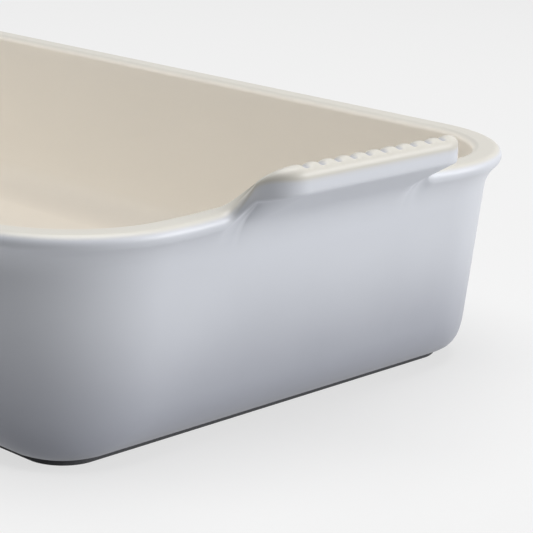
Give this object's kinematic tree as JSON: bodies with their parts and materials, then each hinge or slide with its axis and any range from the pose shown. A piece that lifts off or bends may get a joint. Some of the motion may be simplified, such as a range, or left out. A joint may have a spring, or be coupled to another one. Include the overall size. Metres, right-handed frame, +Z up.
{
  "type": "lasagna dish",
  "caption": "Deep rectangular glazed stoneware baking dish with leaning walls, a rounded base, a flared lip and a ridged wing handle at each end.",
  "frame": {"origin": "centre of the dish's footprint, on the surface that it stands on", "axes": "+X along the dish towards the front handle, +Y across it, +Z up"},
  "size_m": [0.402, 0.23, 0.0924],
  "materials": {
    "bare_stoneware": "matt, unglazed and ground at the foot",
    "cream_glaze": "satin gloss",
    "blue_grey_glaze": "satin gloss"
  },
  "bodies": {
    "root": {"stoneware_tub": "bare_stoneware", "handle_front": "bare_stoneware", "handle_rear": "bare_stoneware", "liner_glaze": "cream_glaze", "outer_glaze": "blue_grey_glaze"}
  },
  "joints": []
}
